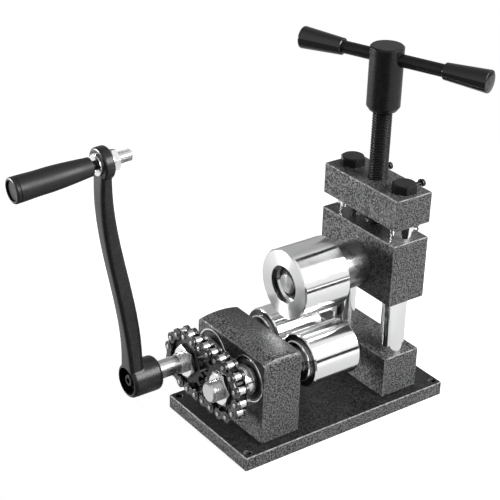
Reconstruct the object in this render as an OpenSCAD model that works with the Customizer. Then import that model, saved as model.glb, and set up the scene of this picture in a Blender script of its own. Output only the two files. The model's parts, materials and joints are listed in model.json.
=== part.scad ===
// Bench-top ring bending machine: two chain-coupled lower rollers, a crank and a screw-pressed upper roller.
// Units are millimetres, +Z up. Origin at the centre of the base plate underside, crank toward -X.

/* [Base plate] */
// Length of the base plate along X
base_l = 180; // [172:1:210]
// Width of the base plate along Y
base_w = 97; // [92:1:130]
// Thickness of the base plate
base_t = 11; // [9:0.5:16]
// Diameter of the four corner holes
hole_d = 5.5; // [4:0.1:6.5]
// Distance of the corner holes from the short edges
hole_edge_x = 5; // [4.5:0.1:8]
// Distance of the corner holes from the long edges
hole_edge_y = 5.5; // [4.5:0.1:8]

/* [Blocks] */
// Thickness of every block along X
block_t = 32; // [29:0.5:36]
// Wall left between a shaft bearing and the side face of its block
side_wall = 1.2; // [0.8:0.1:4]
// Bevel on the edges of plate and blocks
edge_bevel = 0.6; // [0.2:0.1:1.2]
// Bearing block face to the crank end of the base plate
bearing_block_inset = 19; // [12:0.5:22]
// Height of the bearing block at its two faces
bearing_block_h = 64; // [62.5:0.5:68]
// Rise of the bearing block's crowned top between its faces
bearing_block_crown = 2; // [0.5:0.1:3]
// Radius of the bearing block's two side top edges
bearing_block_round = 5; // [2:0.5:7]
// Tower rear face to the far end of the base plate
tower_inset = 19.5; // [12:0.5:22]
// Height of the block at the foot of the posts
foot_block_h = 32; // [20:0.5:34]
// Height of the sliding block
slide_block_h = 48; // [42:0.5:56]
// Height of the top block
top_block_h = 23.5; // [20:0.5:30]

/* [Posts] */
// Diameter of the guide posts
post_d = 18; // [15:0.5:20]
// Post axis to the side face of the blocks
post_edge = 12; // [11:0.5:14]
// Depth of the post seats in the top block
post_seat = 8; // [5:0.5:11]
// Size of the hex bolts on top
bolt_d = 10; // [8:0.5:12]
// Width across flats of the hex bolts
bolt_af = 16; // [14:0.5:19]
// Head height of the hex bolts
bolt_head_h = 6.4; // [5:0.1:8]
// Bolt length below the head
bolt_l = 34; // [32:1:40]

/* [Chain drive] */
// Chain pitch
chain_pitch = 9.525; // [9.3:0.005:10]
// Number of chain links
chain_links = 22; // [22:2:22]
// Teeth of each sprocket
sprocket_teeth = 13; // [13:1:13]
// Diameter of the chain rollers
chain_roller_d = 6.35; // [5.5:0.05:6.5]
// Clear width between the inner plates
chain_inner_w = 5.72; // [5.6:0.02:6.4]
// Thickness of a chain plate
chain_plate_t = 1.1; // [0.8:0.05:1.3]
// Height of a chain plate at its ends
chain_plate_h = 8.2; // [7.4:0.1:8.6]
// Height of a chain plate at its waist
chain_waist_h = 5.4; // [4.4:0.1:6.4]
// Diameter of the chain pins
chain_pin_d = 3.28; // [2.6:0.02:3.6]
// Pin end standing out of the outer plates
chain_pin_proud = 0.9; // [0.4:0.1:1.4]
// Thickness of the sprockets
sprocket_t = 5.2; // [4.6:0.1:5.4]

/* [Shafts and bearings] */
// Height of the lower shafts above the base plate
shaft_h = 44; // [42.5:0.5:46]
// Diameter of the lower shafts
shaft_d = 15; // [13:0.5:16]
// Outer diameter of the shaft bearings
bearing_od = 35; // [34:0.5:36]
// Width of the shaft bearings
bearing_w = 11; // [9:0.5:13]
// Length of the sleeve between bearing and sprocket
sleeve_l = 17; // [14:0.5:22]
// Diameter of that sleeve
sleeve_d = 24; // [22:0.5:27]
// Width across flats of the sprocket lock nuts
nut_af = 22; // [20:0.5:24]
// Thickness of the sprocket lock nuts
nut_t = 3; // [2.5:0.5:6]
// Turn of the lock nuts' flats, one each way
nut_turn = 20; // [0:1:30]
// Driven shaft end standing out of its nut
shaft_proud = 8; // [4:0.5:12]
// Side of the square sprocket keys
key_s = 5; // [4:0.5:6]

/* [Rollers] */
// Length of the bending rollers
roller_l = 40; // [36:0.5:44]
// Gap between the two lower rollers
roller_gap = 2.86; // [2:0.02:6]
// Bearing block face to the lower rollers
roller_end_gap = 12.5; // [10:0.5:15]
// Diameter of the lower rollers' bosses
roller_boss_d = 30; // [26:0.5:34]
// Length of the lower rollers' bosses
roller_boss_l = 2.5; // [1.5:0.5:5]
// Diameter of the upper roller
upper_roller_d = 52; // [48:0.5:56]
// Height of the straight gap between upper and lower rollers
nip_gap = 5; // [4.4:0.1:8]
// Bevel on the roller edges
roller_bevel = 1; // [0.5:0.1:2]
// Outer diameter of the upper roller's bearings
roller_bearing_od = 28; // [26:0.5:32]
// Width of the upper roller's bearings
roller_bearing_w = 7; // [5:0.5:8]
// Depth of the front bearing in the upper roller
roller_recess = 6; // [4:0.5:8]

/* [Upper axle] */
// Diameter of the axle inside the upper roller
axle_d = 15; // [13:0.5:16]
// Diameter of the collar between roller and sliding block
axle_collar_d = 35; // [30:0.5:38]
// Diameter of the shank through the sliding block
axle_shank_d = 20; // [18:0.5:24]
// Axle height above the sliding block underside
axle_drop = 19.5; // [16:0.5:22]
// Thread diameter at the rear of the axle
axle_thread_d = 14; // [12:0.5:16]
// Width across flats of the rear axle nut
axle_nut_af = 21; // [19:0.5:23]
// Thickness of the rear axle nut
axle_nut_t = 8; // [6:0.5:11]

/* [Press screw] */
// Gap between sliding block and top block
slide_up_gap = 11.3; // [9:0.1:14]
// Diameter of the press screw
screw_d = 14; // [12:0.5:16]
// Thread pitch of the press screw
screw_pitch = 2; // [1.5:0.25:2.5]
// Screw length between top block and hub
screw_show = 51.7; // [40:0.1:60]
// Diameter of the tee hub
hub_d = 24; // [21:0.5:28]
// Height of the tee hub
hub_h = 46.5; // [40:0.5:52]

/* [Tee bar] */
// Diameter of the tee bar
bar_d = 9; // [7:0.5:11]
// Overall length over the tee bar grips
bar_l = 146.5; // [120:0.5:170]
// Bar centre shifted along its length in the hub
bar_shift = -5.2; // [-12:0.1:12]
// Direction of the bar from +X
bar_angle = 110.4; // [60:0.1:120]
// Bar axis below the top of the hub
bar_drop = 8.5; // [7.5:0.1:12]
// Length of a tee bar grip
bar_grip_l = 34; // [26:0.5:40]
// Largest diameter of a tee bar grip
bar_grip_d = 16; // [14:0.5:19]
// Neck diameter of a tee bar grip
bar_grip_neck_d = 12; // [11.6:0.1:13]

/* [Crank] */
// Shaft axis to grip axis
crank_r = 167; // [140:0.5:190]
// Diameter of the crank hub
crank_hub_d = 25; // [23:0.5:30]
// Length of the crank hub
crank_hub_l = 23; // [20:0.5:27]
// Lock nut to the crank hub
crank_gap = 23.3; // [18:0.1:30]
// Diameter of the shaft inside the crank hub
stub_d = 13; // [11:0.5:14]
// Drive shaft thread standing out of its nut
drive_thread_proud = 5.3; // [2:0.1:8]
// Depth of the recess in the hub face
hub_recess = 7; // [6.5:0.5:9]
// Diameter of that recess
hub_recess_d = 20; // [18:0.5:21]
// Width of the crank arm at the hub
arm_hub_w = 18; // [15:0.5:22]
// Width of the crank arm at its waist
arm_waist_w = 10; // [8:0.5:13]
// Width of the crank arm at the eye
arm_eye_w = 14; // [12:0.5:18]
// Thickness of the crank arm at the hub
arm_t = 9; // [7:0.1:12]
// Thickness of the crank arm at the eye
arm_eye_t = 7.2; // [6:0.1:7.4]
// Thickness of the crank arm at its waist
arm_waist_t = 12.4; // [9:0.1:14]
// Height of the waist above the shaft
arm_waist_h = 55; // [40:1:90]
// Sideways offset of the arm's outer end
arm_offset = 20.2; // [10:0.1:26]
// Diameter of the eye
eye_d = 22; // [19:0.5:25]
// Thickness of the eye
eye_t = 7.6; // [7.6:0.1:12]

/* [Crank grip] */
// Length of the grip
grip_l = 55; // [45:0.5:70]
// Diameter of the grip at its outer end
grip_d = 17.3; // [16.6:0.1:22]
// Diameter of the grip over its middle
grip_body_d = 16.4; // [15:0.1:16.6]
// Diameter of the grip at the eye end
grip_neck_d = 12.6; // [11.6:0.1:15]
// Lean of the grip axis, outer end down
grip_lean = 3.3; // [0:0.1:5]
// Diameter of the spindle inside the grip
spindle_d = 5; // [4:0.5:6]
// Diameter of the stud through the eye
stud_d = 8; // [6:0.5:10]
// Gap between eye and grip
grip_gap = 5.4; // [4:0.1:8]
// Spindle end standing out behind the nut
spindle_proud = 10.9; // [3:0.1:14]

/* [Return springs] */
// Sideways position of the springs
spring_y = 17.8; // [16.6:0.1:24]
// Wire diameter
wire_d = 1.2; // [0.9:0.1:1.3]
// Mean diameter of the coils
coil_d = 5.4; // [5:0.1:6.2]
// Number of curls of one spring
spring_turns = 18; // [12:1:20]
// Spring pin below the top of the top block
pin_drop = 4.3; // [4:0.1:8]
// Spring pin above the sliding block underside
pin_rise = 15; // [8:0.5:22]
// Spring loop to the rear faces of the blocks
loop_out = 9.5; // [8:0.5:12]
// Depth of the spring pins in their blocks
pin_depth = 6; // [4:0.5:8]

/* [Plate screws] */
// Diameter of the countersunk screws under the plate
plate_screw_d = 8; // [6:0.5:9]
// Length of the countersunk screws
plate_screw_l = 24; // [18:1:26]

/* [Fits] */
// Radial running clearance
run_fit = 0.05; // [0.02:0.01:0.1]
// Clear gap between neighbouring parts that move
gap = 0.3; // [0.2:0.05:0.6]

/* [Hidden] */
$fn = 48;
// Colours
paint = [0.27, 0.28, 0.29];
chrome = [0.82, 0.83, 0.85];
steel = [0.62, 0.63, 0.65];
dark_steel = [0.16, 0.16, 0.17];
black = [0.05, 0.05, 0.055];
zinc = [0.74, 0.75, 0.77];

// Plan positions
shaft_spacing = (chain_links - sprocket_teeth) / 2 * chain_pitch;
shaft_y = shaft_spacing / 2;
block_w = shaft_spacing + bearing_od + 2 * side_wall;
bb_x0 = -base_l / 2 + bearing_block_inset;
bb_x1 = bb_x0 + block_t;
bb_x = (bb_x0 + bb_x1) / 2;
tw_x1 = base_l / 2 - tower_inset;
tw_x0 = tw_x1 - block_t;
tw_x = (tw_x0 + tw_x1) / 2;
post_y = block_w / 2 - post_edge;
roll_x0 = bb_x1 + roller_end_gap;
roll_x1 = roll_x0 + roller_l;
hole_x = base_l / 2 - hole_edge_x;
hole_y = base_w / 2 - hole_edge_y;

// Heights
shaft_z = base_t + shaft_h;
lower_r = (shaft_spacing - roller_gap) / 2;
upper_r = upper_roller_d / 2;
upper_z = shaft_z + lower_r + nip_gap + upper_r;
slide_z0 = upper_z - axle_drop;
slide_z1 = slide_z0 + slide_block_h;
top_z0 = slide_z1 + slide_up_gap;
top_z1 = top_z0 + top_block_h;
hub_z0 = top_z1 + screw_show;
hub_z1 = hub_z0 + hub_h;
bar_z = hub_z1 - bar_drop;

// Chain drive
sprocket_x1 = bb_x0 - sleeve_l;
sprocket_x0 = sprocket_x1 - sprocket_t;
chain_x = (sprocket_x0 + sprocket_x1) / 2;
nut_x0 = sprocket_x0 - nut_t;
pitch_r = chain_pitch / 2 / sin(180 / sprocket_teeth);
tooth_a = 360 / sprocket_teeth;
seat_r = chain_roller_d / 2 + gap;
tip_r = shaft_spacing / 2 - gap;
// Where a chain roller leaves its sprocket, and the tooth flanks that let it pass
exit_r = norm([chain_pitch, pitch_r]);
exit_a = tooth_a - atan(chain_pitch / pitch_r);
flank_r = seat_r + exit_r * sin(exit_a);
key_top = shaft_d / 2 + key_s * 0.45;
plate_play = 0.06;
inner_plate_x = chain_inner_w / 2;
outer_plate_x = inner_plate_x + chain_plate_t + plate_play;
pin_half = outer_plate_x + chain_plate_t + chain_pin_proud;
strand_pins = floor(shaft_spacing / chain_pitch);
strand_rest = shaft_spacing / chain_pitch - strand_pins;

// Bearings
bearing_inner_d = shaft_d + 5.5;
bearing_outer_bore = bearing_od - 5.5;
seal_t = 1.2;
roller_inner_d = axle_d + 3.2;
roller_outer_bore = roller_bearing_od - 3.2;
rb_front_x = roll_x0 + roller_recess;
rb_rear_x = roll_x1 - 2 - roller_bearing_w;

// Crank and grip
hub_x1 = nut_x0 - crank_gap;
hub_x0 = hub_x1 - crank_hub_l;
recess_x = hub_x0 + hub_recess;
washer_t = 1.6;
screw_head_h = 4.2;
screw_head_d = 8.5;
crank_screw_d = 5;
crank_screw_l = 15;
crank_socket_af = 4;
crank_socket_h = 2.5;
tap_room = 1.5;
thread_end_x = nut_x0 - drive_thread_proud;
eye_z = shaft_z + crank_r;
arm_x = hub_x0 + arm_t / 2;
eye_x = arm_x - arm_offset;
eye_x0 = eye_x - eye_t / 2;
eye_x1 = eye_x + eye_t / 2;
grip_x1 = eye_x0 - grip_gap;
grip_x0 = grip_x1 - grip_l;
spindle_head_d = spindle_d + 3.4;
spindle_head_l = 4;
cap_d = grip_d - 3.6;
cap_t = 2;
cap_x = grip_x0 + 1.2;
head_x1 = grip_x0 + 9;
spindle_nut_t = stud_d * 0.55;
washer_d = 1.8 * stud_d;
collar_x1 = eye_x0 - washer_t;
spindle_washer_x1 = eye_x1 + washer_t;
spindle_nut_x1 = spindle_washer_x1 + spindle_nut_t;
spindle_end_x = spindle_nut_x1 + spindle_proud;
bend_z0 = shaft_z + 15;
bend_z1 = shaft_z + crank_r - 15;

// Press screw
tip_d = screw_d - 4;
pocket_d = tip_d + 1;
pocket_depth = 8;
pad_t = 3;
tip_z = slide_z1 - pocket_depth + pad_t + 0.1;
tip_top_z = slide_z1 + 1;
screw_in_hub = 20;
thread_depth = screw_pitch * 0.5;

// Tee bar
bar_half = bar_l / 2;
bar_in_grip = bar_grip_l - 6;

// Return springs
coil_r = coil_d / 2;
wire_r = wire_d / 2;
spring_pin_d = 2 * (coil_r - wire_r - gap);
pin_top_z = top_z1 - pin_drop;
pin_low_z = slide_z0 + pin_rise;
loop_x = tw_x1 + loop_out;
spring_x = loop_x - coil_r;
helix_z0 = pin_low_z + coil_r;
helix_z1 = pin_top_z - coil_r;
helix_pitch = (helix_z1 - helix_z0) / spring_turns;
ring_steps = 8;
ring_sides = 6;
loop_sweep = 285;
loop_steps = 20;

// Shared shapes
module x_cyl(x0, x1, d) {
  translate([x0, 0, 0]) rotate([0, 90, 0]) cylinder(d = d, h = x1 - x0);
}

module x_ring(x0, x1, d, bore) {
  difference() {
    x_cyl(x0, x1, d);
    x_cyl(x0 - 1, x1 + 1, bore);
  }
}

// A turned shape about X; points are [radius, x]
module x_turned(points) {
  rotate([0, 90, 0]) rotate_extrude() polygon(points);
}

module bevelled_rect(w, h, c) {
  polygon([
    [-w / 2 + c, -h / 2], [w / 2 - c, -h / 2], [w / 2, -h / 2 + c], [w / 2, h / 2 - c],
    [w / 2 - c, h / 2], [-w / 2 + c, h / 2], [-w / 2, h / 2 - c], [-w / 2, -h / 2 + c]
  ]);
}

// A block with all edges bevelled, centred in X and Y, standing on z = 0
module bevelled_block(sx, sy, sz, c) {
  intersection() {
    linear_extrude(sz) bevelled_rect(sx, sy, c);
    translate([0, sy / 2, sz / 2]) rotate([90, 0, 0]) linear_extrude(sy) bevelled_rect(sx, sz, c);
    translate([-sx / 2, 0, sz / 2]) rotate([90, 0, 90]) linear_extrude(sx) bevelled_rect(sy, sz, c);
  }
}

// A hex prism along X with turned corners on its outer face
module x_hex(x0, x1, af, turn) {
  corner = af / cos(30) / 2;
  cut = corner - af / 2 * 0.97;
  intersection() {
    translate([x0, 0, 0]) rotate([turn, 0, 0]) rotate([0, 90, 0])
      cylinder(r = corner, h = x1 - x0, $fn = 6);
    x_turned([
      [0, x0], [af / 2 * 0.97, x0], [corner + 0.1, x0 + cut * 0.6], [corner + 0.1, x1 - cut * 0.6],
      [af / 2 * 0.97, x1], [0, x1]
    ]);
  }
}

module at_drive() {
  translate([0, shaft_y, shaft_z]) children();
}

module at_driven() {
  translate([0, -shaft_y, shaft_z]) children();
}

module at_upper() {
  translate([0, 0, upper_z]) children();
}

// Base plate and blocks
module plate_screw_places() {
  for (x = [bb_x, tw_x]) for (y = [-post_y, 0, post_y]) translate([x, y, 0]) children();
}

module countersunk(d, l) {
  head_h = d * 0.55;
  translate([0, 0, gap]) cylinder(d1 = 2 * d, d2 = d, h = head_h);
  translate([0, 0, gap + head_h]) cylinder(d = d, h = l - head_h);
}

module screw_room() {
  countersunk(plate_screw_d, plate_screw_l);
  translate([0, 0, -1]) cylinder(d = 2 * plate_screw_d, h = 1 + gap);
}

module base_plate() {
  color(paint) difference() {
    bevelled_block(base_l, base_w, base_t, edge_bevel);
    for (x = [-hole_x, hole_x]) for (y = [-hole_y, hole_y])
      translate([x, y, -1]) cylinder(d = hole_d, h = base_t + 2);
    plate_screw_places() screw_room();
  }
}

module plate_screws() {
  color(zinc) plate_screw_places() difference() {
    countersunk(plate_screw_d, plate_screw_l);
    cylinder(d = plate_screw_d * 0.625 / cos(30), h = plate_screw_d * 0.4, $fn = 6);
  }
}

// Outline of half a barrel lying along Y, its rims rounded
module barrel_half(r, l, rim) {
  square_y = l / 2 - rim;
  translate([0, -l / 2]) square([r - rim, l]);
  translate([0, -square_y]) square([r, 2 * square_y]);
  for (y = [-square_y, square_y]) translate([r - rim, y]) circle(r = rim);
}

module bearing_block() {
  half = block_t / 2;
  top_h = bearing_block_h + bearing_block_crown;
  crown_r = (pow(half, 2) + pow(bearing_block_crown, 2)) / (2 * bearing_block_crown);
  bevel_x = half - edge_bevel;
  bevel_h = top_h - crown_r + sqrt(pow(crown_r, 2) - pow(bevel_x, 2));
  face_h = bearing_block_h - edge_bevel;
  color(paint) difference() {
    translate([bb_x, 0, base_t]) intersection() {
      linear_extrude(top_h) bevelled_rect(block_t, block_w, edge_bevel);
      translate([0, block_w / 2, 0]) rotate([90, 0, 0]) linear_extrude(block_w) polygon([
        [-bevel_x, 0], [bevel_x, 0], [half, edge_bevel], [half, face_h], [bevel_x, bevel_h], [bevel_x, top_h],
        [-bevel_x, top_h], [-bevel_x, bevel_h], [-half, face_h], [-half, edge_bevel]
      ]);
      translate([-half, 0, top_h / 2]) rotate([90, 0, 90]) linear_extrude(block_t)
        bevelled_rect(block_w, top_h, edge_bevel);
      translate([0, 0, top_h - crown_r]) rotate([90, 0, 0]) rotate_extrude()
        barrel_half(crown_r, block_w, bearing_block_round);
    }
    for (y = [-shaft_y, shaft_y]) translate([0, y, shaft_z]) {
      x_cyl(bb_x0 - 1, bb_x0 + bearing_w, bearing_od);
      x_cyl(bb_x1 - bearing_w, bb_x1 + 1, bearing_od);
      x_cyl(bb_x0, bb_x1, bearing_outer_bore);
    }
    for (y = [-post_y, 0, post_y]) translate([bb_x, y, 0])
      cylinder(d = plate_screw_d, h = plate_screw_l + gap);
  }
}

module shaft_bearings() {
  for (y = [-shaft_y, shaft_y]) for (x = [bb_x0, bb_x1 - bearing_w]) translate([x, y, shaft_z]) children();
}

module bearing_outer_rings() {
  rim = 0.5;
  color(chrome) shaft_bearings() x_turned([
    [bearing_outer_bore / 2, 0], [bearing_od / 2 - rim, 0], [bearing_od / 2, rim],
    [bearing_od / 2, bearing_w - rim], [bearing_od / 2 - rim, bearing_w], [bearing_outer_bore / 2, bearing_w]
  ]);
}

module bearing_seals() {
  seal_bore = bearing_inner_d + 2 * gap;
  color(black) shaft_bearings() {
    x_ring(0.4, 0.4 + seal_t, bearing_outer_bore, seal_bore);
    x_ring(bearing_w - 0.4 - seal_t, bearing_w - 0.4, bearing_outer_bore, seal_bore);
  }
}

module foot_block() {
  color(paint) difference() {
    translate([tw_x, 0, base_t]) bevelled_block(block_t, block_w, foot_block_h, edge_bevel);
    for (y = [-post_y, post_y]) translate([tw_x, y, base_t - 1]) cylinder(d = post_d, h = foot_block_h + 2);
    translate([tw_x, 0, 0]) cylinder(d = plate_screw_d, h = plate_screw_l + gap);
  }
}

module guide_post(y) {
  color(chrome) difference() {
    translate([tw_x, y, base_t]) cylinder(d = post_d, h = top_z0 + post_seat - base_t);
    translate([tw_x, y, 0]) cylinder(d = plate_screw_d, h = plate_screw_l + gap);
    translate([tw_x, y, top_z1 - bolt_l]) cylinder(d = bolt_d, h = bolt_l);
  }
}

module guide_post_rear() {
  guide_post(post_y);
}

module guide_post_front() {
  guide_post(-post_y);
}

module top_block() {
  color(paint) difference() {
    translate([tw_x, 0, top_z0]) bevelled_block(block_t, block_w, top_block_h, edge_bevel);
    translate([tw_x, 0, top_z0 - 1]) cylinder(d = screw_d + 2 * run_fit, h = top_block_h + 2);
    for (y = [-post_y, post_y]) translate([tw_x, y, 0]) {
      translate([0, 0, top_z0 - 1]) cylinder(d = post_d, h = post_seat + 1);
      translate([0, 0, top_z0]) cylinder(d = bolt_d, h = top_block_h + 1);
    }
    spring_pin_places(pin_top_z) x_cyl(-pin_depth, 1, spring_pin_d);
  }
}

module post_bolts() {
  corner = bolt_af / cos(30) / 2;
  face_r = bolt_af / 2 * 0.96;
  color(black) for (y = [-post_y, post_y]) translate([tw_x, y, top_z1]) {
    intersection() {
      cylinder(r = corner, h = bolt_head_h, $fn = 6);
      rotate_extrude() polygon([
        [0, 0], [corner + 0.1, 0], [corner + 0.1, bolt_head_h - 1.2], [face_r, bolt_head_h], [0, bolt_head_h]
      ]);
    }
    translate([0, 0, -bolt_l]) cylinder(d = bolt_d, h = bolt_l);
  }
}

// Springs and their pins
module spring_pin_places(z) {
  for (y = [-spring_y, spring_y]) translate([tw_x1, y, z]) children();
}

module spring_pin() {
  end = loop_out + wire_r + 2;
  x_turned([
    [0, -pin_depth], [spring_pin_d / 2, -pin_depth], [spring_pin_d / 2, end - 1.4], [coil_r, end - 1.4],
    [coil_r, end - 0.4], [coil_r - 0.4, end], [0, end]
  ]);
}

module upper_spring_pins() {
  color(dark_steel) spring_pin_places(pin_top_z) spring_pin();
}

module lower_spring_pins() {
  color(dark_steel) spring_pin_places(pin_low_z) spring_pin();
}

// One step of the wire path: place, normal, direction
function loop_low(u) = [
  [coil_r, coil_r * sin(u), coil_r * cos(u) - coil_r], [1, 0, 0], [0, cos(u), -sin(u)]
];
function loop_high(u, rise) = [
  [coil_r, coil_r * sin(u), rise + coil_r - coil_r * cos(u)], [1, 0, 0], [0, cos(u), sin(u)]
];
function curl(a) = let(
  run = [-coil_r * sin(a), coil_r * cos(a), helix_pitch / 2 / PI]
) [
  [coil_r * cos(a), coil_r * sin(a), helix_pitch * a / 360], [cos(a), sin(a), 0], run / norm(run)
];
helix_rise = helix_z1 - helix_z0;
wire_path = concat(
  [for (i = [0:loop_steps - 1]) loop_low(-loop_sweep * (loop_steps - i) / loop_steps)],
  [for (i = [0:spring_turns * ring_steps]) curl(360 * i / ring_steps)],
  [for (i = [1:loop_steps]) loop_high(loop_sweep * i / loop_steps, helix_rise)]
);
wire_count = len(wire_path);
function ring_point(s, k) = let(
  side = cross(s[2], s[1]),
  a = 360 * k / ring_sides
) s[0] + wire_r * (cos(a) * s[1] + sin(a) * side);
wire_points = [for (s = wire_path) for (k = [0:ring_sides - 1]) ring_point(s, k)];
function ring_index(i, k) = i * ring_sides + k % ring_sides;
wire_faces = concat(
  [for (i = [0:wire_count - 2]) for (k = [0:ring_sides - 1])
    [ring_index(i, k), ring_index(i, k + 1), ring_index(i + 1, k + 1)]],
  [for (i = [0:wire_count - 2]) for (k = [0:ring_sides - 1])
    [ring_index(i, k), ring_index(i + 1, k + 1), ring_index(i + 1, k)]],
  [for (k = [1:ring_sides - 2]) [ring_index(0, 0), ring_index(0, k + 1), ring_index(0, k)]],
  [for (k = [1:ring_sides - 2])
    [ring_index(wire_count - 1, 0), ring_index(wire_count - 1, k), ring_index(wire_count - 1, k + 1)]]
);
near_steps = 5;
wire_gap = min([
  for (i = [0:wire_count - 1]) for (j = [i + near_steps:1:wire_count - 1])
    norm(wire_path[i][0] - wire_path[j][0])
]) - wire_d;
echo(least_gap_of_a_spring_to_itself = wire_gap);

module return_spring(y) {
  color(dark_steel) translate([spring_x, y, helix_z0])
    polyhedron(points = wire_points, faces = wire_faces, convexity = 10);
}

module return_spring_rear() {
  return_spring(spring_y);
}

module return_spring_front() {
  return_spring(-spring_y);
}

// Chain: pins counted from the top of the drive sprocket, over the driven sprocket and back
half_rest = strand_rest * tooth_a;
function strand_pin(i) = [shaft_y - i * chain_pitch, pitch_r];
function arc_pin(i) = let(a = 90 + (i - strand_pins) * tooth_a - half_rest)
  [-shaft_y + pitch_r * cos(a), pitch_r * sin(a)];
function half_pin(i) = i <= strand_pins ? strand_pin(i) : arc_pin(i);
function chain_pin(i) = let(n = chain_links / 2, m = i % chain_links)
  m < n ? half_pin(m) : -half_pin(m - n);

module chain_pin_places() {
  for (i = [0:chain_links - 1]) let(q = chain_pin(i))
    translate([chain_x, q[0], shaft_z + q[1]]) children();
}

module link_places(first) {
  for (i = [first:2:chain_links - 1]) let(
    a = chain_pin(i),
    b = chain_pin(i + 1),
    m = (a + b) / 2,
    turn = atan2(b[1] - a[1], b[0] - a[0])
  ) translate([chain_x, m[0], shaft_z + m[1]]) rotate([turn, 0, 0]) children();
}

module link_plate(x) {
  half = chain_pitch / 2;
  difference() {
    union() {
      for (y = [-half, half]) translate([0, y, 0]) x_cyl(x, x + chain_plate_t, chain_plate_h);
      translate([x, -half, -chain_waist_h / 2]) cube([chain_plate_t, chain_pitch, chain_waist_h]);
    }
    for (y = [-half, half]) translate([0, y, 0])
      x_cyl(x - 1, x + chain_plate_t + 1, chain_pin_d + 2 * run_fit);
  }
}

module chain_outer_plates() {
  color(dark_steel) link_places(0) {
    link_plate(outer_plate_x);
    link_plate(-outer_plate_x - chain_plate_t);
  }
}

module chain_inner_plates() {
  color(dark_steel) link_places(1) {
    link_plate(inner_plate_x);
    link_plate(-inner_plate_x - chain_plate_t);
  }
}

module chain_rollers() {
  half = inner_plate_x - plate_play;
  color(steel) chain_pin_places() x_ring(-half, half, chain_roller_d, chain_pin_d + 2 * run_fit);
}

module chain_pins() {
  r = chain_pin_d / 2;
  nip = 0.3;
  color(zinc) chain_pin_places() x_turned([
    [0, -pin_half], [r - nip, -pin_half], [r, -pin_half + nip],
    [r, pin_half - nip], [r - nip, pin_half], [0, pin_half]
  ]);
}

// Sprockets, nuts, keys and sleeves
module sprocket(phase) {
  color(dark_steel) difference() {
    x_cyl(sprocket_x0, sprocket_x1, 2 * tip_r);
    for (i = [0:sprocket_teeth - 1]) rotate([phase + i * tooth_a, 0, 0]) {
      translate([0, pitch_r, 0]) x_cyl(sprocket_x0 - 1, sprocket_x1 + 1, 2 * seat_r);
      translate([0, exit_r, 0]) x_cyl(sprocket_x0 - 1, sprocket_x1 + 1, 2 * flank_r);
    }
    x_cyl(sprocket_x0 - 1, sprocket_x1 + 1, shaft_d);
    translate([sprocket_x0 - 1, -key_s / 2, 0]) cube([sprocket_t + 2, key_s, key_top]);
  }
}

module lock_nut(turn) {
  color(zinc) difference() {
    x_hex(nut_x0, sprocket_x0, nut_af, turn);
    x_cyl(nut_x0 - 1, sprocket_x0 + 1, shaft_d);
  }
}

module key_shape() {
  translate([sprocket_x0 + 0.1, -key_s / 2, key_top - key_s]) cube([sprocket_t - 0.2, key_s, key_s]);
}

module sprocket_key() {
  color(steel) key_shape();
}

module sleeve() {
  nose = 1.2;
  nose_d = bearing_inner_d - 1;
  color(chrome) difference() {
    x_turned([
      [0, sprocket_x1], [sleeve_d / 2 - 0.6, sprocket_x1], [sleeve_d / 2, sprocket_x1 + 0.6],
      [sleeve_d / 2, bb_x0 - nose], [nose_d / 2, bb_x0 - nose], [nose_d / 2, bb_x0], [0, bb_x0]
    ]);
    x_cyl(sprocket_x1 - 1, bb_x0 + 1, shaft_d);
  }
}

module inner_rings() {
  color(steel) for (x = [bb_x0, bb_x1 - bearing_w]) x_ring(x, x + bearing_w, bearing_inner_d, shaft_d);
}

module lower_roller() {
  nose_x = roll_x0 - roller_boss_l;
  nose_d = bearing_inner_d - 1;
  color(chrome) difference() {
    x_turned([
      [0, bb_x1], [nose_d / 2, bb_x1], [nose_d / 2, nose_x], [roller_boss_d / 2 - 0.8, nose_x],
      [roller_boss_d / 2, nose_x + 0.8], [roller_boss_d / 2, roll_x0], [lower_r - roller_bevel, roll_x0],
      [lower_r, roll_x0 + roller_bevel], [lower_r, roll_x1 - roller_bevel],
      [lower_r - roller_bevel, roll_x1], [0, roll_x1]
    ]);
    x_cyl(bb_x1 - 1, roll_x1 + 1, shaft_d);
  }
}

// Drive shaft with crank
module drive_shaft() {
  stub_x = recess_x + 0.5;
  color(steel) at_drive() difference() {
    x_turned([
      [0, stub_x], [stub_d / 2, stub_x], [stub_d / 2, thread_end_x], [shaft_d / 2 - 1, thread_end_x],
      [shaft_d / 2, thread_end_x + 1], [shaft_d / 2, roll_x1 - 1.5], [shaft_d / 2 - 1, roll_x1 - 0.5],
      [0, roll_x1 - 0.5]
    ]);
    key_shape();
    crank_key_shape();
    x_cyl(stub_x - 1, recess_x + crank_screw_l + tap_room, crank_screw_d);
  }
}

module drive_roller() {
  at_drive() lower_roller();
}

module drive_inner_rings() {
  at_drive() inner_rings();
}

module drive_sleeve() {
  at_drive() sleeve();
}

module drive_sprocket() {
  at_drive() sprocket(90);
}

module drive_nut() {
  at_drive() lock_nut(-nut_turn);
}

module drive_key() {
  at_drive() sprocket_key();
}

crank_key_s = 4;
crank_key_l = crank_hub_l - hub_recess - 4;

module crank_key_shape() {
  translate([hub_x1 - crank_key_l, -crank_key_s / 2, stub_d / 2 - crank_key_s / 2])
    cube([crank_key_l, crank_key_s, crank_key_s]);
}

module crank_key() {
  color(steel) at_drive() crank_key_shape();
}

// Sideways run of the arm: level near the hub, a soft bend, level at the eye
function soft(t) = let(c = min(1, max(0, t))) c * c * (3 - 2 * c);
function arm_line(z) = arm_x - arm_offset * soft((z - bend_z0) / (bend_z1 - bend_z0));
arm_steps = 28;
arm_heights = [for (i = [0:arm_steps]) shaft_z + crank_r * i / arm_steps];
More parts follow.
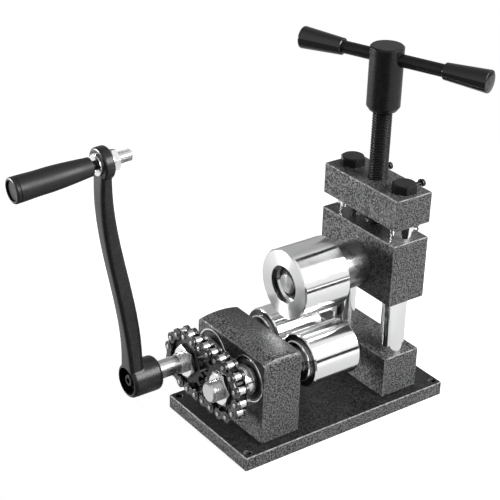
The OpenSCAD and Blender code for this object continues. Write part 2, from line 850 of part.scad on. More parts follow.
// Square of the way from the waist to the nearer end, 0 to 1
function off_waist(z) = let(h = z - shaft_z - arm_waist_h)
  pow(h / (h < 0 ? arm_waist_h : crank_r - arm_waist_h), 2);
function arm_thick(z) = let(end_t = z < shaft_z + arm_waist_h ? arm_t : arm_eye_t)
  arm_waist_t + (end_t - arm_waist_t) * off_waist(z);
function arm_width(z) = let(end_w = z < shaft_z + arm_waist_h ? arm_hub_w : arm_eye_w)
  arm_waist_w + (end_w - arm_waist_w) * off_waist(z);
arm_side = concat(
  [for (z = arm_heights) [arm_line(z) - arm_thick(z) / 2, z]],
  [for (i = [arm_steps:-1:0]) let(z = arm_heights[i]) [arm_line(z) + arm_thick(z) / 2, z]]
);
arm_front = concat(
  [for (z = arm_heights) [-arm_width(z) / 2, z]],
  [for (i = [arm_steps:-1:0]) let(z = arm_heights[i]) [arm_width(z) / 2, z]]
);

// About the leaning grip axis through the middle of the eye
module at_eye() {
  translate([eye_x, shaft_y, eye_z]) rotate([0, -grip_lean, 0]) translate([-eye_x, 0, 0]) children();
}

module crank_arm() {
  hub_low = crank_hub_d / 2;
  hub_round = 3.5;
  edge = 1.2;
  spot = 3;
  spot_d = washer_d + 2 * gap;
  color(black) difference() {
    union() {
      intersection() {
        translate([0, shaft_y + arm_hub_w, 0]) rotate([90, 0, 0])
          linear_extrude(2 * arm_hub_w) polygon(arm_side);
        translate([hub_x0 - arm_offset - arm_t, shaft_y, 0]) rotate([90, 0, 90])
          linear_extrude(crank_hub_l + arm_offset + 2 * arm_t) polygon(arm_front);
      }
      at_drive() x_turned([
        [0, hub_x0], [hub_low - edge, hub_x0], [hub_low, hub_x0 + edge],
        [hub_low, hub_x1 - hub_round], [hub_low - 0.13 * hub_round, hub_x1 - hub_round / 2],
        [hub_low - hub_round / 2, hub_x1 - 0.13 * hub_round], [hub_low - hub_round, hub_x1], [0, hub_x1]
      ]);
      at_eye() x_turned([
        [0, eye_x0], [eye_d / 2 - edge, eye_x0], [eye_d / 2, eye_x0 + edge],
        [eye_d / 2, eye_x1 - edge], [eye_d / 2 - edge, eye_x1], [0, eye_x1]
      ]);
    }
    at_drive() {
      x_cyl(hub_x0 - 1, hub_x1 + 1, stub_d);
      x_cyl(hub_x0 - 1, recess_x, hub_recess_d);
      crank_key_shape();
    }
    at_eye() {
      x_cyl(eye_x0 - 1, eye_x1 + 1, stud_d);
      x_cyl(eye_x0 - spot, eye_x0, spot_d);
      x_cyl(eye_x1, eye_x1 + spot, spot_d);
    }
  }
}

module crank_washer() {
  color(black) at_drive() x_ring(recess_x - washer_t, recess_x, hub_recess_d - 2, crank_screw_d + 0.4);
}

module crank_screw() {
  head_x1 = recess_x - washer_t;
  head_x0 = head_x1 - screw_head_h;
  color(black) at_drive() difference() {
    union() {
      x_turned([
        [0, head_x0], [screw_head_d / 2 - 0.6, head_x0], [screw_head_d / 2, head_x0 + 0.6],
        [screw_head_d / 2, head_x1], [0, head_x1]
      ]);
      x_cyl(head_x1, recess_x + crank_screw_l, crank_screw_d);
    }
    translate([head_x0 - 1, 0, 0]) rotate([0, 90, 0])
      cylinder(d = crank_socket_af / cos(30), h = crank_socket_h + 1, $fn = 6);
  }
}

module grip_spindle() {
  head_x0 = head_x1 - spindle_head_l;
  color(zinc) at_eye() x_turned([
    [0, head_x0], [spindle_head_d / 2, head_x0], [spindle_head_d / 2, head_x1], [spindle_d / 2, head_x1],
    [spindle_d / 2, collar_x1], [stud_d / 2, collar_x1],
    [stud_d / 2, spindle_end_x - 1], [stud_d / 2 - 1, spindle_end_x], [0, spindle_end_x]
  ]);
}

module spindle_collar() {
  color(black) at_eye() x_ring(grip_x1 + gap, collar_x1, spindle_d + 1.6, spindle_d);
}

module spindle_washers() {
  color(zinc) at_eye() {
    x_ring(collar_x1, eye_x0, washer_d, stud_d);
    x_ring(eye_x1, spindle_washer_x1, washer_d, stud_d);
  }
}

module spindle_nut() {
  color(zinc) at_eye() difference() {
    x_hex(spindle_washer_x1, spindle_nut_x1, stud_d * 1.625, 12);
    x_cyl(spindle_washer_x1 - 1, spindle_nut_x1 + 1, stud_d);
  }
}

// Outline of the crank grip: swelling from the neck, straight, then flaring to a lipped outer end
function grip_radius(t) = let(c = min(1, t / 0.52)) grip_neck_d / 2
  + (grip_body_d - grip_neck_d) / 4 * (c + sin(90 * c)) + (grip_d - grip_body_d) / 2 * soft((t - 0.65) / 0.3);
grip_steps = 20;
lip_l = 3.4;
lip_groove = 0.35;
grip_side = concat(
  [for (i = [0:grip_steps]) let(t = i / grip_steps * (1 - lip_l / grip_l))
    [grip_radius(t), grip_x1 - t * grip_l]],
  [
    [grip_d / 2 - lip_groove, grip_x0 + lip_l - 0.4], [grip_d / 2 - lip_groove, grip_x0 + lip_l - 0.8],
    [grip_d / 2, grip_x0 + lip_l - 1.2], [grip_d / 2, grip_x0 + 1], [grip_d / 2 - 0.3, grip_x0 + 0.3],
    [grip_d / 2 - 1, grip_x0]
  ]
);

module crank_grip() {
  color(black) at_eye() difference() {
    x_turned(concat([[0, grip_x1]], grip_side, [[0, grip_x0]]));
    x_cyl(grip_x0 - 1, grip_x1 + 1, spindle_d + 2 * run_fit);
    x_cyl(grip_x0 - 1, head_x1 + gap, spindle_head_d + 2 * gap);
    x_cyl(grip_x0 - 1, cap_x + cap_t, cap_d);
  }
}

module grip_cap() {
  edge = 0.5;
  color(dark_steel) at_eye() x_turned([
    [0, cap_x], [cap_d / 2 - edge, cap_x], [cap_d / 2, cap_x + edge],
    [cap_d / 2, cap_x + cap_t], [0, cap_x + cap_t]
  ]);
}

// Driven shaft
module driven_shaft() {
  end_x = nut_x0 - shaft_proud;
  color(steel) at_driven() difference() {
    x_turned([
      [0, end_x], [shaft_d / 2 - 1.2, end_x], [shaft_d / 2, end_x + 1.2],
      [shaft_d / 2, roll_x1 - 1.5], [shaft_d / 2 - 1, roll_x1 - 0.5], [0, roll_x1 - 0.5]
    ]);
    key_shape();
  }
}

module driven_roller() {
  at_driven() lower_roller();
}

module driven_inner_rings() {
  at_driven() inner_rings();
}

module driven_sleeve() {
  at_driven() sleeve();
}

module driven_sprocket() {
  at_driven() sprocket(90 - half_rest);
}

module driven_nut() {
  at_driven() lock_nut(nut_turn);
}

module driven_key() {
  at_driven() sprocket_key();
}

// Sliding block with axle and upper roller
module slide_block() {
  color(paint) difference() {
    translate([tw_x, 0, slide_z0]) bevelled_block(block_t, block_w, slide_block_h, edge_bevel);
    for (y = [-post_y, post_y]) translate([tw_x, y, slide_z0 - 1])
      cylinder(d = post_d + 2 * run_fit, h = slide_block_h + 2);
    at_upper() x_cyl(tw_x0 - 1, tw_x1 + 1, axle_shank_d);
    translate([tw_x, 0, slide_z1 - pocket_depth]) cylinder(d = pocket_d, h = pocket_depth + 1);
    spring_pin_places(pin_low_z) x_cyl(-pin_depth, 1, spring_pin_d);
  }
}

axle_front_x = roll_x0 + 2;
axle_washer_t = 3;
axle_nut_x0 = tw_x1 + axle_washer_t;
axle_nut_x1 = axle_nut_x0 + axle_nut_t;
shoulder_x = rb_rear_x + roller_bearing_w;
circlip_x = rb_front_x - 1.2;

module upper_axle() {
  r = axle_d / 2;
  end_x = axle_nut_x1 + 2;
  collar_x = roll_x1 + 2 * gap;
  shoulder_r = roller_inner_d / 2 + 0.3;
  color(chrome) at_upper() x_turned([
    [0, axle_front_x], [r - 1, axle_front_x], [r, axle_front_x + 1], [r, shoulder_x],
    [shoulder_r, shoulder_x], [shoulder_r, collar_x], [axle_collar_d / 2 - 0.8, collar_x],
    [axle_collar_d / 2, collar_x + 0.8], [axle_collar_d / 2, tw_x0], [axle_shank_d / 2, tw_x0],
    [axle_shank_d / 2, tw_x1],
    [axle_thread_d / 2, tw_x1], [axle_thread_d / 2, end_x - 1], [axle_thread_d / 2 - 1, end_x], [0, end_x]
  ]);
}

module axle_washer() {
  color(zinc) at_upper() x_ring(tw_x1, axle_nut_x0, axle_shank_d + 8, axle_thread_d);
}

module axle_nut() {
  color(zinc) at_upper() difference() {
    x_hex(axle_nut_x0, axle_nut_x1, axle_nut_af, 0);
    x_cyl(axle_nut_x0 - 1, axle_nut_x1 + 1, axle_thread_d);
  }
}

module axle_circlip() {
  color(dark_steel) at_upper() difference() {
    x_ring(circlip_x, circlip_x + 1.1, axle_d + 4.4, axle_d);
    translate([circlip_x - 1, -1.8, 0]) cube([4, 3.6, axle_d]);
  }
}

module axle_inner_rings() {
  color(steel) at_upper() for (x = [rb_front_x, rb_rear_x])
    x_ring(x, x + roller_bearing_w, roller_inner_d, axle_d);
}

module thrust_pad() {
  color(steel) translate([tw_x, 0, slide_z1 - pocket_depth]) cylinder(d = pocket_d, h = pad_t);
}

module upper_roller() {
  r = upper_r;
  seat = roller_bearing_od;
  mid = roller_bearing_od - 4;
  color(chrome) at_upper() difference() {
    x_turned([
      [0, roll_x0], [r - roller_bevel, roll_x0], [r, roll_x0 + roller_bevel],
      [r, roll_x1 - roller_bevel], [r - roller_bevel, roll_x1], [0, roll_x1]
    ]);
    x_cyl(roll_x0 - 1, rb_front_x + roller_bearing_w, seat);
    x_cyl(rb_rear_x, roll_x1 + 1, seat);
    x_cyl(roll_x0, roll_x1, mid);
  }
}

module roller_outer_rings() {
  color(chrome) at_upper() for (x = [rb_front_x, rb_rear_x])
    x_ring(x, x + roller_bearing_w, roller_bearing_od, roller_outer_bore);
}

module roller_seals() {
  seal_bore = roller_inner_d + 2 * gap;
  color(black) at_upper() for (x = [rb_front_x, rb_rear_x]) {
    x_ring(x + 0.3, x + 0.3 + seal_t, roller_outer_bore, seal_bore);
    x_ring(x + roller_bearing_w - 0.3 - seal_t, x + roller_bearing_w - 0.3, roller_outer_bore, seal_bore);
  }
}

// Press screw with tee hub
thread_turns = floor((hub_z0 - tip_top_z - 1) / screw_pitch);
thread_edge = [for (i = [0:thread_turns - 1]) for (k = [0:3]) let(
  z = tip_top_z + 0.5 + i * screw_pitch,
  r = screw_d / 2
) k == 0 ? [r - thread_depth, z + 0.1 * screw_pitch]
  : k == 1 ? [r, z + 0.4 * screw_pitch]
  : k == 2 ? [r, z + 0.6 * screw_pitch]
  : [r - thread_depth, z + 0.9 * screw_pitch]];

module lead_screw() {
  core_r = screw_d / 2 - thread_depth;
  hub_end = hub_z0 + screw_in_hub;
  color(dark_steel) translate([tw_x, 0, 0]) rotate_extrude() polygon(concat(
    [[0, tip_z], [tip_d / 2 - 1, tip_z], [tip_d / 2, tip_z + 1], [tip_d / 2, tip_top_z], [core_r, tip_top_z]],
    thread_edge,
    [[core_r, hub_z0], [screw_d / 2, hub_z0], [screw_d / 2, hub_end], [0, hub_end]]
  ));
}

module tee_hub() {
  r = hub_d / 2;
  color(black) difference() {
    translate([tw_x, 0, 0]) rotate_extrude() polygon([
      [0, hub_z0], [r - 2, hub_z0], [r, hub_z0 + 3], [r, hub_z1 - 1], [r - 1, hub_z1], [0, hub_z1]
    ]);
    translate([tw_x, 0, hub_z0 - 1]) cylinder(d = screw_d, h = screw_in_hub + 1);
    at_bar() x_cyl(-hub_d, hub_d, bar_d + 2 * run_fit);
  }
}

module at_bar() {
  translate([tw_x, 0, bar_z]) rotate([0, 0, bar_angle]) children();
}

module tee_bar() {
  reach = bar_half - bar_grip_l + bar_in_grip;
  color(black) at_bar() x_cyl(bar_shift - reach, bar_shift + reach, bar_d);
}

bar_grip_edge = 0.8;
bar_grip_dome = 0.7;
bar_grip_side = [
  [0, 0], [bar_grip_neck_d / 2 - 0.6, 0], [bar_grip_neck_d / 2, 0.6],
  [bar_grip_d / 2, bar_grip_l - bar_grip_dome - bar_grip_edge],
  [bar_grip_d / 2 - 0.3 * bar_grip_edge, bar_grip_l - bar_grip_dome - 0.3 * bar_grip_edge],
  [bar_grip_d / 2 - bar_grip_edge, bar_grip_l - bar_grip_dome],
  [bar_grip_d / 2 * 0.6, bar_grip_l - 0.3 * bar_grip_dome],
  [bar_grip_d / 2 * 0.3, bar_grip_l - 0.07 * bar_grip_dome], [0, bar_grip_l]
];

module tee_grip() {
  color(black) difference() {
    x_turned(bar_grip_side);
    x_cyl(-1, bar_in_grip, bar_d);
  }
}

module tee_grip_rear() {
  at_bar() translate([bar_shift + bar_half - bar_grip_l, 0, 0]) tee_grip();
}

module tee_grip_front() {
  at_bar() translate([bar_shift - bar_half + bar_grip_l, 0, 0]) rotate([0, 0, 180]) tee_grip();
}

base_plate();
plate_screws();
bearing_block();
bearing_outer_rings();
bearing_seals();
foot_block();
guide_post_rear();
guide_post_front();
top_block();
post_bolts();
upper_spring_pins();
return_spring_rear();
return_spring_front();
chain_outer_plates();
chain_inner_plates();
chain_rollers();
chain_pins();
drive_shaft();
drive_roller();
drive_inner_rings();
drive_sleeve();
drive_sprocket();
drive_nut();
drive_key();
crank_arm();
crank_key();
crank_washer();
crank_screw();
grip_spindle();
spindle_collar();
spindle_washers();
spindle_nut();
crank_grip();
grip_cap();
driven_shaft();
driven_roller();
driven_inner_rings();
driven_sleeve();
driven_sprocket();
driven_nut();
driven_key();
slide_block();
lower_spring_pins();
upper_axle();
axle_washer();
axle_nut();
axle_circlip();
axle_inner_rings();
thrust_pad();
upper_roller();
roller_outer_rings();
roller_seals();
lead_screw();
tee_hub();
tee_bar();
tee_grip_rear();
tee_grip_front();
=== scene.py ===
"""Looks of a bench-top ring bending machine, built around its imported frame."""

import json
import math

import bmesh
import bpy
from mathutils import Matrix, Vector
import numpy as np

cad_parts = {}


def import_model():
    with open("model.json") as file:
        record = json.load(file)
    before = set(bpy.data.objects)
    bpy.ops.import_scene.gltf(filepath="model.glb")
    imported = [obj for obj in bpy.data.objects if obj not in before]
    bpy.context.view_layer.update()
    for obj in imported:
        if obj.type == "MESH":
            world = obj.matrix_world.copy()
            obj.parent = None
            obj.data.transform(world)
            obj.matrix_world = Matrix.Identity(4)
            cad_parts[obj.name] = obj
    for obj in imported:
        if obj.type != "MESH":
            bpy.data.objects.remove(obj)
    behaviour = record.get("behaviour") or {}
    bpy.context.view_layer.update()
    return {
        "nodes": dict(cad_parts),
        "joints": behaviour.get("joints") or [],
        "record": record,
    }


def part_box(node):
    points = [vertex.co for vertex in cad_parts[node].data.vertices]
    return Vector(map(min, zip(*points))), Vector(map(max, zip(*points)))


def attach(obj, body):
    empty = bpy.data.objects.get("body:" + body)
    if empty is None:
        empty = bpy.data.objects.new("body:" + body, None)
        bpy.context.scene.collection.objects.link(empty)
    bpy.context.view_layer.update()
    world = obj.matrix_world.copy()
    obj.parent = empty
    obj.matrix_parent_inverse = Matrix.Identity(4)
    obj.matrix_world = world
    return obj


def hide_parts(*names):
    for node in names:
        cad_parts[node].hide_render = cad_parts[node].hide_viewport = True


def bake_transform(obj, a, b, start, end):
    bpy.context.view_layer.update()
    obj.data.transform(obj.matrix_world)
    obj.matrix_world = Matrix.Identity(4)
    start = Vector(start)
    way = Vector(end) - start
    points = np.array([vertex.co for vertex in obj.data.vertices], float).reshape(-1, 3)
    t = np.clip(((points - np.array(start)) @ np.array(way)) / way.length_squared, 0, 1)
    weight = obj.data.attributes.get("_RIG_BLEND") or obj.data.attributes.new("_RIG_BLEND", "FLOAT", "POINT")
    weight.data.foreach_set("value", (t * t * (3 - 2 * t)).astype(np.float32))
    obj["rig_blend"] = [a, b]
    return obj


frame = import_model()
nodes = frame["nodes"]
record = frame["record"]
MM = 0.001


def middle(box):
    return (box[0] + box[1]) / 2


# Node helpers
def new_material(name):
    material = bpy.data.materials.new(name)
    material.use_nodes = True
    tree = material.node_tree
    return material, tree, tree.nodes["Principled BSDF"]


def add_node(tree, kind, inputs=None, **settings):
    """A new node; an input value is a plain value or another node's output to link."""
    made = tree.nodes.new(kind)
    for key, value in settings.items():
        setattr(made, key, value)
    for key, value in (inputs or {}).items():
        if isinstance(value, bpy.types.NodeSocket):
            tree.links.new(value, made.inputs[key])
        else:
            made.inputs[key].default_value = value
    return made


def grey(level, warmth=0.0):
    return (level * (1 + warmth), level, level * (1 - warmth), 1)


def place(tree):
    return add_node(tree, "ShaderNodeTexCoord").outputs["Object"]


def split(tree, vector):
    """The X, Y and Z outputs of a vector."""
    return add_node(tree, "ShaderNodeSeparateXYZ", {0: vector}).outputs


def facing(tree):
    """Which way the surface faces, as X, Y and Z outputs."""
    return split(tree, add_node(tree, "ShaderNodeTexCoord").outputs["Normal"])


def noise(tree, size, detail=2.0, where=None):
    """Noise whose grains are about size metres wide."""
    made = add_node(
        tree, "ShaderNodeTexNoise", {"Vector": where or place(tree), "Scale": 1 / size, "Detail": detail}
    )
    return made.outputs["Fac"]


def ranged(tree, value, low, high, to_low, to_high):
    made = add_node(
        tree,
        "ShaderNodeMapRange",
        {"Value": value, "From Min": low, "From Max": high, "To Min": to_low, "To Max": to_high},
        interpolation_type="SMOOTHSTEP",
    )
    return made.outputs["Result"]


def blend_colour(tree, factor, low, high):
    made = add_node(tree, "ShaderNodeMix", data_type="RGBA")
    tree.links.new(factor, made.inputs["Factor"])
    for name, value in (("A", low), ("B", high)):
        socket = next(s for s in made.inputs if s.name == name and s.type == "RGBA")
        if isinstance(value, bpy.types.NodeSocket):
            tree.links.new(value, socket)
        else:
            socket.default_value = value
    return next(s for s in made.outputs if s.type == "RGBA")


def blend_value(tree, factor, low, high):
    return add_node(tree, "ShaderNodeMix", {0: factor, 2: low, 3: high}).outputs[0]


def maths(tree, operation, first, second=0.0):
    return add_node(tree, "ShaderNodeMath", {0: first, 1: second}, operation=operation).outputs[0]


def vector_maths(tree, operation, *vectors):
    made = add_node(tree, "ShaderNodeVectorMath", dict(enumerate(vectors)), operation=operation)
    return made.outputs["Value"]


def soft_edge(tree, radius):
    """Normal with rounded edges, and a mask that is 1 along them."""
    rounded = add_node(tree, "ShaderNodeBevel", {"Radius": radius}, samples=6).outputs["Normal"]
    plain = add_node(tree, "ShaderNodeNewGeometry").outputs["Normal"]
    likeness = vector_maths(tree, "DOT_PRODUCT", rounded, plain)
    return rounded, ranged(tree, likeness, 0.99, 0.8, 0, 1)


def bumped(tree, height, depth, normal=None):
    inputs = {"Height": height, "Distance": depth, "Strength": 1.0}
    if normal is not None:
        inputs["Normal"] = normal
    return add_node(tree, "ShaderNodeBump", inputs).outputs["Normal"]


# Materials
def hammertone_paint(name, top_level=1.0):
    """Dark hammered paint: small winding crests with dark valleys between them.

    A level top may be painted darker and less speckled, as painted shade.
    """
    material, tree, shader = new_material(name)
    blister = 1.15 * MM
    blister_depth = 0.12 * MM
    cloud_size = 18 * MM
    highlight_patch_size = 3 * MM
    edge_r = 0.6 * MM
    valley_tone, crest_glint_tone = grey(0.012), grey(0.2, -0.01)
    cloud_tone, shaded_top_tone, edge_highlight_tone = grey(0.05), grey(0.004), grey(0.5)
    # The hammer pattern is in the colour: pale crests over dark valleys, the pale crests partly painted
    # glints of the light.
    crest = ranged(tree, noise(tree, blister, 0.5), 0.36, 0.64, 0, 1)
    cloud = noise(tree, cloud_size, 3)
    normal, edge = soft_edge(tree, edge_r)
    speckle_and_glints = blend_colour(tree, crest, valley_tone, crest_glint_tone)
    clouded = blend_colour(tree, ranged(tree, cloud, 0.3, 0.7, 0, 0.2), speckle_and_glints, cloud_tone)
    toward = facing(tree)
    # Painted shade: level tops are blended toward a near-black tone, less speckled.
    level_top = ranged(tree, toward["Z"], 0.9, 0.98, 0, 1 - top_level)
    top_shaded = blend_colour(tree, level_top, clouded, shaded_top_tone)
    # Painted highlight: bevelled edges and faces slanted about 45 degrees are painted pale in patches, where
    # they would catch the light.
    squarest = maths(tree, "ABSOLUTE", toward["X"])
    for axis in "YZ":
        squarest = maths(tree, "MAXIMUM", squarest, maths(tree, "ABSOLUTE", toward[axis]))
    slanted = maths(tree, "MAXIMUM", edge, ranged(tree, squarest, 0.84, 0.74, 0, 0.8))
    highlight_patches = ranged(tree, noise(tree, highlight_patch_size), 0.35, 0.65, 0.2, 0.9)
    edge_lit = blend_colour(tree, maths(tree, "MULTIPLY", slanted, highlight_patches), top_shaded, edge_highlight_tone)
    shader.inputs["Specular IOR Level"].default_value = 0.22
    tree.links.new(edge_lit, shader.inputs["Base Color"])
    tree.links.new(ranged(tree, crest, 0, 1, 0.3, 0.2), shader.inputs["Roughness"])
    tree.links.new(bumped(tree, crest, blister_depth, normal), shader.inputs["Normal"])
    return material


def polished_metal(
    name,
    level,
    rough,
    line_width=0.25 * MM,
    line_depth=0.0004 * MM,
    shaded_end_level=1.0,
    face_rough=None,
    turned=0.0,
):
    """Bright metal with faint turning lines and a little uneven polish.

    Faced ends may be duller, the -X end may be painted darker as painted shade, and turned is how far
    reflections smear along the X axis it was turned about.
    """
    smear_size = 9 * MM
    edge_r = 0.3 * MM
    lines_around = 12.0
    painted_shade_face = grey(0.01)
    material, tree, shader = new_material(name)
    shader.inputs["Metallic"].default_value = 1.0
    if turned:
        around = add_node(tree, "ShaderNodeTangent", direction_type="RADIAL", axis="X")
        tree.links.new(around.outputs["Tangent"], shader.inputs["Tangent"])
        shader.inputs["Anisotropic"].default_value = turned
        shader.inputs["Anisotropic Rotation"].default_value = 0.25
    smear = noise(tree, smear_size, 3)
    stretch = (1 / line_width, lines_around, lines_around)
    stretched = add_node(tree, "ShaderNodeMapping", {"Vector": place(tree), "Scale": stretch})
    lines = noise(tree, size=1.0, detail=1.0, where=stretched.outputs["Vector"])
    normal = soft_edge(tree, edge_r)[0]
    colour = blend_colour(tree, smear, grey(level * 0.96), grey(level, -0.008))
    dull = ranged(tree, smear, 0.3, 0.7, rough * 0.8, rough * 1.3)
    if face_rough is not None:
        along = facing(tree)["X"]
        faced = ranged(tree, maths(tree, "ABSOLUTE", along), 0.9, 0.98, 0, 1)
        dull = blend_value(tree, faced, dull, face_rough)
        # Painted shade: an end turned to -X, toward the dark block, is painted near-black.
        darker = ranged(tree, along, -0.9, -0.98, 0, 1 - shaded_end_level)
        colour = blend_colour(tree, darker, colour, painted_shade_face)
    tree.links.new(colour, shader.inputs["Base Color"])
    tree.links.new(dull, shader.inputs["Roughness"])
    tree.links.new(bumped(tree, lines, line_depth, normal), shader.inputs["Normal"])
    return material


def dark_metal(name, low, high, rough, metallic=1.0, grain=1.2 * MM, depth=0.01 * MM, gloss=0.5):
    """Blackened or oiled steel: blotchy, with paler edges, partly worn by handling and partly a painted edge
    highlight.
    """
    material, tree, shader = new_material(name)
    shader.inputs["Metallic"].default_value = metallic
    shader.inputs["Specular IOR Level"].default_value = gloss
    blotch_size = 5 * MM
    edge_r = 0.35 * MM
    blotch = noise(tree, blotch_size, 4)
    fine = noise(tree, grain, 2)
    normal, edge = soft_edge(tree, edge_r)
    colour = blend_colour(tree, ranged(tree, blotch, 0.3, 0.7, 0, 1), grey(low), grey(high))
    # Paler edges: partly wear, partly a painted edge highlight.
    rubbed_and_lit = blend_colour(tree, maths(tree, "MULTIPLY", edge, 0.35), colour, grey(min(1, high * 3)))
    tree.links.new(rubbed_and_lit, shader.inputs["Base Color"])
    tree.links.new(ranged(tree, fine, 0.3, 0.7, rough * 0.85, rough * 1.2), shader.inputs["Roughness"])
    tree.links.new(bumped(tree, fine, depth, normal), shader.inputs["Normal"])
    return material


def moulded(name, level, rough, grain, depth, gloss=0.5):
    """Moulded black plastic or rubber with a fine grain."""
    material, tree, shader = new_material(name)
    shader.inputs["Specular IOR Level"].default_value = gloss
    cloud_size = 12 * MM
    edge_r = 0.4 * MM
    fine = noise(tree, grain, 2)
    cloud = noise(tree, cloud_size, 3)
    normal, edge = soft_edge(tree, edge_r)
    colour = blend_colour(tree, cloud, grey(level * 0.7), grey(level * 1.3))
    # Paler edges, partly worn by handling and partly a painted edge highlight.
    rubbed_and_lit = blend_colour(tree, maths(tree, "MULTIPLY", edge, 0.3), colour, grey(level * 2.5))
    tree.links.new(rubbed_and_lit, shader.inputs["Base Color"])
    tree.links.new(ranged(tree, cloud, 0.3, 0.7, rough * 0.85, rough * 1.15), shader.inputs["Roughness"])
    tree.links.new(bumped(tree, fine, depth, normal), shader.inputs["Normal"])
    return material


def bearing_steel():
    """Bearing outer rings: faces painted dark as painted shade, inside a rim painted bright as a painted
    highlight.
    """
    material, tree, shader = new_material("bearing_steel")
    shader.inputs["Metallic"].default_value = 1.0
    rim_r = 16.1 * MM
    rim_blend = 0.3 * MM
    smear_size = 4 * MM
    rim_highlight_tone = grey(0.85)
    shaft = middle(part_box("driven_shaft"))
    spot = split(tree, place(tree))
    across = maths(tree, "SUBTRACT", maths(tree, "ABSOLUTE", spot["Y"]), -shaft.y)
    above = maths(tree, "SUBTRACT", spot["Z"], shaft.z)
    squares = [maths(tree, "MULTIPLY", side, side) for side in (across, above)]
    from_axis = maths(tree, "SQRT", maths(tree, "ADD", *squares))
    rim = ranged(tree, from_axis, rim_r, rim_r + rim_blend, 0, 1)
    smear = noise(tree, smear_size, 3)
    # Painted shade and highlight: the ring faces are painted near-black and the outer rim pale.
    shaded_face = blend_colour(tree, smear, grey(0.05), grey(0.1))
    tree.links.new(blend_colour(tree, rim, shaded_face, rim_highlight_tone), shader.inputs["Base Color"])
    tree.links.new(ranged(tree, smear, 0.3, 0.7, 0.2, 0.3), shader.inputs["Roughness"])
    return material


def brass():
    material, tree, shader = new_material("pad_brass")
    shader.inputs["Metallic"].default_value = 1.0
    tarnish_size = 3 * MM
    dark_brass, bright_brass = (0.55, 0.38, 0.14, 1), (0.75, 0.56, 0.24, 1)
    tarnish = noise(tree, tarnish_size, 3)
    colour = blend_colour(tree, tarnish, dark_brass, bright_brass)
    tree.links.new(colour, shader.inputs["Base Color"])
    tree.links.new(ranged(tree, tarnish, 0.3, 0.7, 0.25, 0.4), shader.inputs["Roughness"])
    return material


looks = {
    "hammertone_paint": hammertone_paint("hammertone_paint"),
    "roller_chrome": polished_metal("roller_chrome", level=0.86, rough=0.05),
    "bright_zinc": polished_metal(
        "bright_zinc", level=0.8, rough=0.2, line_width=0.4 * MM, line_depth=0.002 * MM
    ),
    "ground_steel": polished_metal(
        "ground_steel", level=0.58, rough=0.26, line_width=0.2 * MM, line_depth=0.003 * MM
    ),
    "black_oxide": dark_metal("black_oxide", low=0.005, high=0.01, rough=0.26, metallic=0.0, gloss=0.22),
    "chain_steel": dark_metal("chain_steel", low=0.05, high=0.1, rough=0.26),
    "crank_black": dark_metal(
        "crank_black",
        low=0.006,
        high=0.012,
        rough=0.3,
        metallic=0.0,
        grain=0.9 * MM,
        depth=0.02 * MM,
        gloss=0.4,
    ),
    "grip_plastic": moulded(
        "grip_plastic", level=0.009, rough=0.42, grain=0.5 * MM, depth=0.02 * MM, gloss=0.35
    ),
    "tee_plastic": moulded("tee_plastic", level=0.006, rough=0.1, grain=1.5 * MM, depth=0.003 * MM),
    "seal_rubber": moulded("seal_rubber", level=0.02, rough=0.6, grain=0.4 * MM, depth=0.015 * MM),
    "pad_brass": brass(),
}
upper_turned = polished_metal("upper_turned", level=0.86, rough=0.13, face_rough=0.3, turned=0.9)
# The lower rollers' -X ends get painted shade.
lower_turned = polished_metal(
    "lower_turned", level=0.86, rough=0.13, shaded_end_level=0.1, face_rough=0.2, turned=0.9
)
# Axle steel set dull and dark: partly its own duller finish, partly painted shade for the dark reflections
# around its collar.
axle_dull_and_shaded = polished_metal("axle_dull_and_shaded", level=0.38, rough=0.26, face_rough=0.3, turned=0.6)
satin_steel = polished_metal(
    "satin_steel", level=0.62, rough=0.2, line_width=0.3 * MM, line_depth=0.002 * MM
)
pin_steel = polished_metal("pin_steel", level=0.42, rough=0.3, line_width=0.3 * MM, line_depth=0.002 * MM)
own_look = {
    # The plate's level top is painted dark as painted shade.
    "base_plate": hammertone_paint("plate_paint", top_level=0.2),
    "upper_roller": upper_turned,
    "drive_roller": lower_turned,
    "driven_roller": lower_turned,
    "upper_axle": axle_dull_and_shaded,
    "drive_sleeve": satin_steel,
    "driven_sleeve": satin_steel,
    "bearing_outer_rings": bearing_steel(),
    "chain_pins": pin_steel,
}
slot_of = {part["node"]: part["material_slot"] for part in record["subparts"]}
for name, slot in slot_of.items():
    for held in nodes[name].material_slots:
        held.material = own_look.get(name, looks[slot])


# Mesh helpers
def make_object(name, vertices, faces, crease=math.radians(35)):
    mesh = bpy.data.meshes.new(name)
    mesh.from_pydata(vertices, [], faces)
    made = bpy.data.objects.new(name, mesh)
    bpy.context.scene.collection.objects.link(made)
    tidy = bmesh.new()
    tidy.from_mesh(mesh)
    bmesh.ops.recalc_face_normals(tidy, faces=tidy.faces)
    tidy.to_mesh(mesh)
    tidy.free()
    shade(made, crease)
    return made


def shade(made, crease):
    made.data.shade_smooth()
    made.data.set_sharp_from_angle(angle=crease)


def stand_for(made, body, node):
    """Dress a new piece in its node's finish and let it stand for that node."""
    slot = slot_of[node]
    made.data.materials.clear()
    made.data.materials.append(looks[slot])
    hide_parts(node)
    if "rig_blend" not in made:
        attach(made, body)
    return made


def ring_faces(rings, sides):
    """Quads between successive rings of the same number of points."""
    return [
        (i * sides + k, i * sides + (k + 1) % sides, (i + 1) * sides + (k + 1) % sides, (i + 1) * sides + k)
        for i in range(rings - 1)
        for k in range(sides)
    ]


def closed_loft(rings):
    """A closed mesh through rings of points, as (vertices, faces)."""
    sides = len(rings[0])
    vertices = [point for ring in rings for point in ring]
    faces = ring_faces(len(rings), sides)
    faces.append(tuple(reversed(range(sides))))
    faces.append(tuple(range((len(rings) - 1) * sides, len(rings) * sides)))
    return vertices, faces


